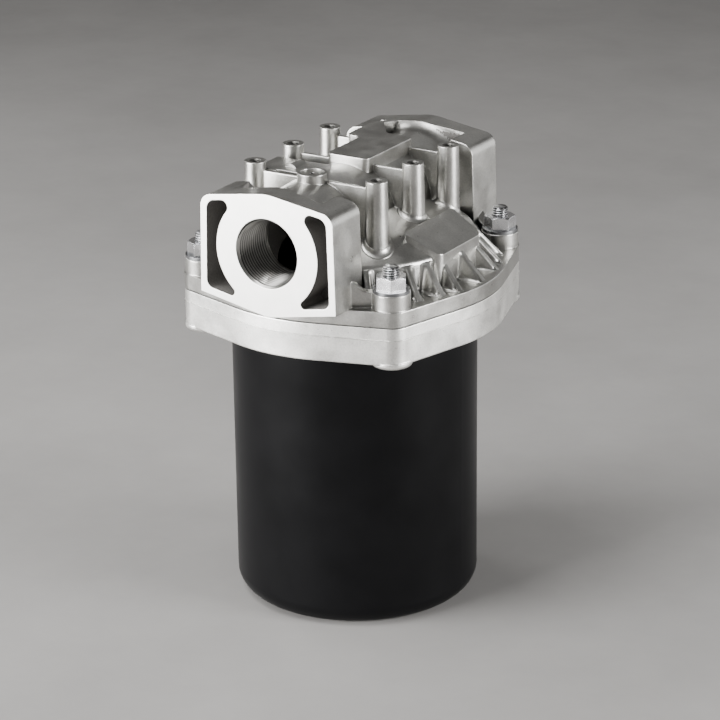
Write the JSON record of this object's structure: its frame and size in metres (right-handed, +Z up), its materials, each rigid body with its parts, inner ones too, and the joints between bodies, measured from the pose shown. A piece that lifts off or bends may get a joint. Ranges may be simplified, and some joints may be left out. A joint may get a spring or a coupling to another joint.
{
  "type": "hydraulic filter",
  "caption": "In-line hydraulic filter with a ribbed cast head, opposed threaded ports, a clamp ring on studs and a round black bowl that holds a pleated element.",
  "frame": {"origin": "centre of the bowl's flat bottom, on the surface it stands on", "axes": "+Z up along the bowl's axis, Y along the line through both ports with the inlet facing -Y, +X to the right of someone looking into the inlet"},
  "size_m": [0.188, 0.194, 0.2815],
  "materials": {
    "cast_aluminium": "satin die-cast",
    "cast_ring": "satin die-cast",
    "black_paint": "satin black paint",
    "seal_rubber": "matt",
    "zinc_steel": "zinc plated",
    "tinned_sheet": "tinned",
    "filter_paper": "matt",
    "spring_steel": "oiled",
    "turned_brass": "turned"
  },
  "bodies": {
    "housing": {"head": "cast_aluminium", "clamp_ring": "cast_ring", "bowl": "black_paint", "bowl_seal": "seal_rubber", "studs": "zinc_steel", "nuts": "zinc_steel", "washers": "zinc_steel", "element_top_cap": "tinned_sheet", "element_bottom_cap": "tinned_sheet", "filter_media": "filter_paper", "inner_tube": "tinned_sheet", "element_seal": "seal_rubber", "element_spring": "spring_steel", "spring_plate": "zinc_steel", "bypass_seat": "turned_brass", "seat_gasket": "seal_rubber", "bypass_cage": "tinned_sheet", "bypass_spring": "spring_steel"},
    "valve": {"bypass_poppet": "turned_brass", "bypass_clip": "spring_steel"}
  },
  "joints": [
    {"name": "bypass_lift", "type": "slide", "parent": "housing", "child": "valve", "axis": [0, 1, 0], "range_m": [0, 0.006], "stiffness_N_per_m": 4000, "springref_m": -0.01, "deforming": ["bypass_spring"]}
  ]
}
